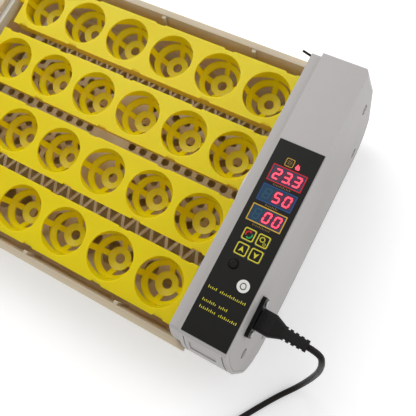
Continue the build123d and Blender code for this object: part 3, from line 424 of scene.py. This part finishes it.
@dataclass
class Panel:
    """Printed film on top of the housing: frames, captions, symbols and lit digits.

    Args:
        column_x: middle of the three displays in mm.
        window: opening over one display, in mm.
        window_y: middle of each opening in mm.
        readings: what the three displays show.
        digit_h, digit_w, digit_step: size of a digit and distance between digits, in mm.
        stroke: width of a segment in mm.
        segment_gap: space between the ends of two segments, in mm.
        slant: how far a digit leans for each mm of its height.
        frame_out, frame_in: how far a display's frame reaches outside and inside its window, in mm.
        frame_inner_r: corner radius of the frame's inner edge in mm.
        key_side: side of a key in mm.
        keys: centre of each key in mm.
        key_edge, key_line: space outside a key's outline and width of the outline, in mm.
        caption_x: middle of the captions in mm.
        captions: middle and half length of each caption, in mm.
        caption_h, rating_h: height of the tallest stroke in captions and rating lines, in mm.
        ratings: ends, middle and strokes per group of each rating line, in mm.
        lamp_at, flame_at, disc_at: centres of the signs in mm.
    """

    column_x: float = 171.0
    window: Point = (27.8, 13.4)
    window_y: tuple[float, ...] = (15.2, -2.3, -19.9)
    readings: tuple[str, ...] = ("23.3", " 50", " 00")
    digit_h: float = 9.2
    digit_w: float = 5.2
    digit_step: float = 8.4
    stroke: float = 1.25
    segment_gap: float = 0.16
    slant: float = 0.12
    frame_out: float = 0.5
    frame_in: float = 0.35
    frame_inner_r: float = 0.25
    key_side: float = 10.3
    keys: dict[str, Point] = field(default_factory=lambda: {
        "mode": (165.0, -37.3), "set": (176.7, -37.3), "up": (165.0, -49.6), "down": (176.7, -49.6)})
    key_edge: float = 0.25
    key_line: float = 0.9
    caption_x: float = 170.6
    captions: tuple[Point, ...] = ((6.6, 7.4), (-10.9, 5.4), (-28.7, 7.4))
    caption_h: float = 1.5
    rating_h: float = 2.2
    ratings: tuple = ((155.1, 186.6, -85.0, (5, 14)), (155.5, 176.7, -95.2, (8, 5)),
                      (155.8, 187.2, -100.8, (9, 10)))
    lamp_at: Point = (167.6, 27.3)
    flame_at: Point = (174.9, 26.1)
    disc_at: Point = (178.8, -73.9)

    NAMES = ("temperature", "humidity", "day")
    FRAME_INKS = (RED_INK, BLUE_INK, ORANGE_INK)
    SEGMENTS = {"0": "abcdef", "2": "abged", "3": "abgcd", "5": "afgcd", "8": "abcdefg"}
    STROKE_HEIGHTS = (1.0, 0.62, 0.8, 0.62, 1.0, 0.7)

    def __post_init__(self) -> None:
        """Read the heights that the prints lie on."""
        self.film_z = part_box("control_panel")[1].z
        self.lens_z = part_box("display_lenses")[1].z
        self.key_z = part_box("mode_button")[1].z

    def ink(self, name: str, finish: Finish, slabs: Sequence[tuple], z: float, body: str = HOUSING) -> bpy.types.Object:
        """Make one printed piece out of outlines.

        Args:
            name: piece name.
            finish: ink.
            slabs: outlines, each (points,) or (points, hole).
            z: height of the surface it is printed on, in metres.
            body: body it rides on.

        Returns:
            The printed piece.
        """
        mesh = bmesh.new()
        for slab in slabs:
            add_slab(mesh, slab[0], z, PRINT_T, slab[1] if len(slab) > 1 else None)
        return piece_from(name, mesh, finish, body)

    def segment(self, letter: str, cx: float, cy: float) -> Outline:
        """Outline of one bar of a seven-segment digit.

        Args:
            letter: "a" to "g", clockwise from the top, "g" in the middle.
            cx, cy: centre of the digit in mm.

        Returns:
            A six-sided outline, slanted like the rest of the digit.
        """
        w, h, t, gap = self.digit_w / 2, self.digit_h / 2, self.stroke / 2, self.segment_gap
        flat = {"a": h - t, "g": 0.0, "d": t - h}
        if letter in flat:
            y = flat[letter]
            points = [(-w + gap, y), (-w + t + gap, y - t), (w - t - gap, y - t), (w - gap, y),
                      (w - t - gap, y + t), (-w + t + gap, y + t)]
        else:
            x = (w - t / 2) * (1 if letter in "bc" else -1)
            low, high = (gap, h - t - gap) if letter in "bf" else (t - h + gap, -gap)
            points = [(x, low), (x + t, low + t), (x + t, high - t), (x, high), (x - t, high - t),
                      (x - t, low + t)]
        return [(cx + x + self.slant * y, cy + y) for x, y in points]

    def digit(self, character: str, cx: float, cy: float) -> list[tuple[Outline]]:
        """Bars of one digit.

        Args:
            character: the digit, or a space for all seven bars of an unlit one.
            cx, cy: its centre in mm.

        Returns:
            One outline for each bar.
        """
        letters = self.SEGMENTS["8" if character == " " else character]
        return [(self.segment(letter, cx, cy),) for letter in letters]

    def display(self, name: str, finish: Finish, y: float, text: str) -> None:
        """Frame, unlit and lit digits of one reading.

        Args:
            name: which display.
            finish: ink of its frame.
            y: middle of its window in mm.
            text: what it shows.
        """
        dot_r, dot_aside, dot_up, digits_aside, halo_aside = 0.75, 0.6, 0.8, 0.2, 0.1
        halo_w, halo_h, halo_r = self.digit_w + 2.6, self.digit_h + 1.8, 1.6
        w, h = self.window
        outer = rounded(self.column_x, y, w + 2 * self.frame_out, h + 2 * self.frame_out,
                        Corner.TIGHT.value, 3)
        inner = rounded(self.column_x, y, w - 2 * self.frame_in, h - 2 * self.frame_in,
                        self.frame_inner_r, 3)
        self.ink(f"{name}_frame", finish, [(outer, inner)], self.film_z)
        lit, unlit, halo = [], [], []
        places = [self.column_x + self.digit_step * (k - 1) + digits_aside for k in range(3)]
        for x, character in zip(places, text.replace(".", "")):
            if character == " ":
                unlit += self.digit(character, x, y)
                continue
            lit += self.digit(character, x, y)
            halo.append((rounded(x + halo_aside, y, halo_w, halo_h, halo_r),))
        if "." in text:
            dot_x = places[text.index(".") - 1] + self.digit_w / 2 + dot_aside
            lit.append((disc(dot_x, y - self.digit_h / 2 + dot_up, dot_r, 14),))
        self.ink(f"{name}_glow", LIT_HALO, halo, self.lens_z)
        self.ink(f"{name}_digits_lit", LIT_RED, lit, self.lens_z + PRINT_T)
        if unlit:
            self.ink(f"{name}_digit_unlit", GHOST, unlit, self.lens_z)

    def marks(self, name: str, finish: Finish, x0: float, x1: float, y: float, height: float,
              groups: Sequence[int]) -> None:
        """A row of small plain strokes in place of a printed line.

        Args:
            name: piece name.
            finish: ink.
            x0, x1: ends of the row in mm.
            y: middle of the row in mm.
            height: height of the tallest stroke in mm.
            groups: number of strokes in each group.
        """
        space, width = 1.4, 0.4
        step = (x1 - x0) / (sum(groups) + space * (len(groups) - 1))
        slabs, x, count = [], x0, 0
        for group in groups:
            for _ in range(group):
                tall = height * self.STROKE_HEIGHTS[count % len(self.STROKE_HEIGHTS)]
                middle = y - height / 2 + tall / 2
                slabs.append((rounded(x + step / 2, middle, width * step, tall, 0.12 * step, 3),))
                x += step
                count += 1
            x += space * step
        self.ink(name, finish, slabs, self.film_z)

    def lines(self) -> None:
        """Rows of strokes for the captions and the rating lines."""
        for suffix, (y, half) in zip("abc", self.captions):
            self.marks(f"caption_{suffix}", GOLD_INK, self.caption_x - half, self.caption_x + half, y,
                       self.caption_h, (int(half * 1.6),))
        for suffix, (x0, x1, y, groups) in zip("abc", self.ratings):
            self.marks(f"rating_line_{suffix}", YELLOW_INK, x0, x1, y, self.rating_h, groups)

    def on_key(self, key: str, print_name: str, finish: Finish, slabs: Sequence[tuple]) -> None:
        """Print something on a key, so that it rides with the key.

        Args:
            key: which key.
            print_name: what the print is called.
            finish: ink.
            slabs: outlines, each (points,) or (points, hole).
        """
        self.ink(f"{key}_{print_name}", finish, slabs, self.key_z, f"{key}_button_body")

    def key_prints(self) -> None:
        """Outline and symbol on each key."""
        side = self.key_side - 2 * self.key_edge
        inside = side - 2 * self.key_line
        for key, (x, y) in self.keys.items():
            edge = (rounded(x, y, side, side, Corner.KEY.value, 6),
                    rounded(x, y, inside, inside, 0.7 * Corner.KEY.value, 6))
            self.on_key(key, "outline", YELLOW_INK, [edge])
        arrow = [(0.0, 2.7), (-2.2, -2.2), (0.0, -1.0), (2.2, -2.2)]
        for key, sign in (("up", 1), ("down", -1)):
            self.on_key(key, "arrow", YELLOW_INK, [(shifted(arrow, *self.keys[key], sign),)])
        for print_name, finish, start in (("turn_red", RED_INK, 85), ("turn_green", GREEN_INK, 265)):
            self.on_key("mode", print_name, finish, [(self.hook(*self.keys["mode"], start),)])
        x, y = self.keys["set"]
        gears = [(x - 0.7, y + 0.8, 2.4, 10), (x + 2.0, y - 2.2, 1.3, 8)]
        wheels = [(self.gear(gx, gy, r, teeth), disc(gx, gy, 0.6 * r, 4 * teeth))
                  for gx, gy, r, teeth in gears]
        self.on_key("set", "gears", YELLOW_INK, wheels)

    @staticmethod
    def hook(cx: float, cy: float, start: int) -> Outline:
        """Curved arrow over a third of a turn.

        Args:
            cx, cy: centre of the turn in mm.
            start: angle of the arrowhead's base in degrees.

        Returns:
            The outline in mm.
        """
        inner_r, outer_r, sweep, step = 2.0, 3.2, 120, 15
        head_inner_r, head_outer_r, head_angle = 1.3, 3.8, 34
        outer = [around(cx, cy, outer_r, start + a) for a in range(0, sweep + 1, step)]
        inner = [around(cx, cy, inner_r, start + a) for a in range(sweep, -1, -step)]
        return outer + inner + [around(cx, cy, head_inner_r, start),
                                around(cx, cy, (inner_r + outer_r) / 2, start - head_angle),
                                around(cx, cy, head_outer_r, start)]

    @staticmethod
    def gear(cx: float, cy: float, r: float, teeth: int) -> Outline:
        """Toothed outline with four points to a tooth.

        Args:
            cx, cy: centre in mm.
            r: radius over the teeth in mm.
            teeth: number of teeth.

        Returns:
            The outline in mm.
        """
        root, count = 0.8 * r, 4 * teeth
        return [around(cx, cy, r if i % 4 in (0, 1) else root, 360 * i / count) for i in range(count)]

    def signs(self) -> None:
        """Lamp field, heating sign and the plain disc with an egg."""
        x, y = self.lamp_at
        field_side, field_inside, ray_r, ray_at, sun_r, sun_hole = 7.0, 6.0, 0.34, 2.1, 1.3, 0.8
        edge = (rounded(x, y, field_side, field_side, Corner.LAMP.value, 5),
                rounded(x, y, field_inside, field_inside, 0.75 * Corner.LAMP.value, 5))
        self.ink("lamp_outline", ORANGE_INK, [edge], self.film_z)
        rays = [(disc(*around(x, y, ray_at, 45 * k), ray_r, 8),) for k in range(8)]
        sun = (disc(x, y, sun_r, 24), disc(x, y, sun_hole, 24))
        self.ink("lamp_sun", GOLD_INK, [sun] + rays, self.film_z)
        flame = [(-1.4, -1.9), (1.2, -2.0), (1.9, -0.5), (1.2, 0.6), (0.9, 2.0), (0.1, 0.9), (-0.6, 2.9),
                 (-1.3, 1.0), (-2.0, -0.4)]
        self.ink("heating_sign", LIT_RED, [(shifted(flame, *self.flame_at),)], self.film_z)
        disc_r, egg_r, egg_down, egg_stretch, egg_hole = 4.95, 2.5, 0.3, 1.25, 0.72
        self.ink("disc_field", WHITE_INK, [(disc(*self.disc_at, disc_r, 48),)], self.film_z)
        egg = [(px, py * (1.0 if py < 0 else egg_stretch)) for px, py in disc(0, -egg_down, egg_r, 32)]
        ring = (shifted(egg, *self.disc_at), shifted(egg, *self.disc_at, egg_hole))
        self.ink("disc_egg", GREY_INK, [ring], self.film_z + PRINT_T)

    def build(self) -> None:
        """Print everything."""
        for name, finish, y, text in zip(self.NAMES, self.FRAME_INKS, self.window_y, self.readings):
            self.display(name, finish, y, text)
        self.lines()
        self.key_prints()
        self.signs()


@dataclass
class MainsLead:
    """Two-core lead: loops down from the connector, over the table, into a tied coil.

    Args:
        diameter: of the lead, in metres.
        exit_y, exit_z: where it leaves the connector, in mm.
        inside: how far it starts inside the connector, in mm.
        route: from the connector to the coil, in mm.
        coil_centre: middle of the coil in plan, in mm.
        coil_rings: radius and height of the turns, one after another, in mm.
        coil_start: angle at which the coil begins, in degrees.
        per_turn, extra: points in each turn, and points after the last whole one.
        tail: from the coil to the plug, in mm.
        cut_corners: how much shorter the smooth lead is than the line through its points; not used.
    """

    diameter: float = 5.2 * MM
    exit_y: float = -90.3
    exit_z: float = 97.5
    inside: float = 0.2
    route: tuple = (
        (249.0, -90.9, 97.2), (253.0, -95.5, 90.0), (254.5, -101.5, 68.0), (253.0, -107.5, 44.0),
        (250.0, -114.5, 20.0), (244.0, -124.5, 5.2), (232.0, -140.0, 2.7), (214.0, -168.0, 2.7),
        (196.0, -198.0, 2.7), (188.9, -222.0, 2.7))
    coil_centre: Point = (222.0, -240.0)
    coil_rings: tuple[Point, ...] = ((31.6, 2.7), (26.4, 2.7), (26.4, 7.9), (31.6, 7.9), (33.0, 4.0))
    coil_start: float = 172.0
    per_turn: int = 16
    extra: int = 5
    tail: tuple = ((232.0, -274.4, 3.2), (246.0, -277.6, 5.6), (256.0, -279.0, 6.8))
    cut_corners: float = 0.985

    def coil(self) -> list[tuple[float, float, float]]:
        """Points of the tied turns: rings side by side, then on top of each other.

        Returns:
            The points in mm, from the outside of the first ring to the end of the last one.
        """
        rings, points = self.coil_rings, []
        for i in range(len(rings) * self.per_turn + self.extra):
            turn = min(i / self.per_turn, len(rings) - 1.0)
            k = min(int(turn), len(rings) - 2)
            part = min(turn - k, 1.0)
            ease = part * part * (3 - 2 * part)
            r = rings[k][0] + (rings[k + 1][0] - rings[k][0]) * ease
            z = rings[k][1] + (rings[k + 1][1] - rings[k][1]) * ease
            points.append((*around(*self.coil_centre, r, self.coil_start + 360 * i / self.per_turn), z))
        return points

    def build(self) -> None:
        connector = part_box("cord_connector")
        exit_point = (connector[1].x - self.inside * MM, self.exit_y * MM, self.exit_z * MM)
        points = [tuple(c / MM for c in exit_point), *self.route, *self.coil(), *self.tail]
        curve = bpy.data.curves.new("power_cord_line", "CURVE")
        curve.dimensions = "3D"
        spline = curve.splines.new("NURBS")
        spline.points.add(len(points) - 1)
        for point, (x, y, z) in zip(spline.points, points):
            point.co = (x * MM, y * MM, z * MM, 1.0)
        spline.order_u = 3
        spline.use_endpoint_u = True
        spline.resolution_u = 6
        curve.bevel_depth = self.diameter / 2
        curve.bevel_resolution = 6
        curve.use_fill_caps = True
        lead = bpy.data.objects.new("power_cord_lead", curve)
        bpy.context.scene.collection.objects.link(lead)
        curve.materials.append(CORD_PVC.make())
        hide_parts("power_cord", "cord_coil", "cord_tail")
        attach(lead, CORD_BODY)


@dataclass(frozen=True)
class SoftBox:
    """Square soft light.

    Args:
        name: light name.
        at: its place in metres.
        aim: the point it faces, in metres.
        side: its side in metres.
        power: watts.
        tint: sRGB hex colour.
    """

    name: str
    at: tuple[float, float, float]
    aim: tuple[float, float, float]
    side: float
    power: float
    tint: str = "ffffff"

    def make(self) -> None:
        """Place the light in the scene, facing its aim."""
        data = bpy.data.lights.new(self.name, "AREA")
        data.shape, data.size, data.energy = "SQUARE", self.side, self.power
        data.color = linear(self.tint)[:3]
        lamp = bpy.data.objects.new(self.name, data)
        lamp.location = self.at
        lamp.rotation_euler = (Vector(self.aim) - Vector(self.at)).to_track_quat("-Z", "Y").to_euler()
        bpy.context.scene.collection.objects.link(lamp)


@dataclass
class Studio:
    """Pale floor, soft lights and the camera.

    Args:
        focal_mm: focal length for a sensor 36 mm wide.
        camera_at: place of the camera in mm.
        right, down: directions of the picture's right and lower edges.
        floor_half: half of the floor's side in metres.
        floor_below: how far the floor lies under the feet, in metres.
        lights: key light beyond the tub's far end, weaker fill light beyond the housing.
        world_tint, world_strength: even light from all around.
    """

    focal_mm: float = 46.83
    camera_at: tuple[float, float, float] = (240.3, -103.2, 525.6)
    right: tuple[float, float, float] = (0.86947, 0.46543, -0.16553)
    down: tuple[float, float, float] = (0.41306, -0.86877, -0.27317)
    floor_half: float = 4.0
    floor_below: float = 0.0002
    lights: tuple[SoftBox, ...] = (
        SoftBox("key_light", (-0.9, 0.9, 1.7), (0.0, 0.0, 0.0), 1.4, 19.0),
        SoftBox("fill_light", (1.4, 0.9, 1.2), (0.1, 0.1, 0.0), 1.2, 5.0, "f4f6ff"))
    world_tint: str = "ffffff"
    world_strength: float = 0.55

    def camera(self) -> None:
        """High three-quarter view over the control housing."""
        data = bpy.data.cameras.new("camera")
        data.lens, data.sensor_width = self.focal_mm, 36.0
        data.clip_start = 0.01
        camera = bpy.data.objects.new("camera", data)
        bpy.context.scene.collection.objects.link(camera)
        right, up = Vector(self.right).normalized(), -Vector(self.down).normalized()
        back = right.cross(up).normalized()
        up = back.cross(right)
        turn = Matrix((right, up, back)).transposed().to_4x4()
        camera.matrix_world = Matrix.Translation(Vector(self.camera_at) * MM) @ turn
        bpy.context.scene.camera = camera

    def floor(self) -> None:
        """Wide pale floor just under the feet."""
        mesh = bmesh.new()
        bmesh.ops.create_grid(mesh, x_segments=2, y_segments=2, size=self.floor_half)
        data = bpy.data.meshes.new("floor")
        mesh.to_mesh(data)
        mesh.free()
        floor = bpy.data.objects.new("floor", data)
        floor.location.z = -self.floor_below
        bpy.context.scene.collection.objects.link(floor)
        data.materials.append(FLOOR_PAINT.make())

    def build(self) -> None:
        """Floor, lights, world and colour."""
        self.floor()
        for light in self.lights:
            light.make()
        world = bpy.data.worlds.new("studio")
        world.use_nodes = True
        background = world.node_tree.nodes["Background"]
        background.inputs["Color"].default_value = linear(self.world_tint)
        background.inputs["Strength"].default_value = self.world_strength
        bpy.context.scene.world = world
        bpy.context.scene.view_settings.view_transform = "Standard"


def main() -> None:
    """Build the camera and the lead first, then the finishes, the panel and the studio."""
    studio = Studio()
    studio.camera()
    MainsLead().build()
    Dresser().build()
    Panel().build()
    studio.build()


if __name__ == "__main__":
    main()
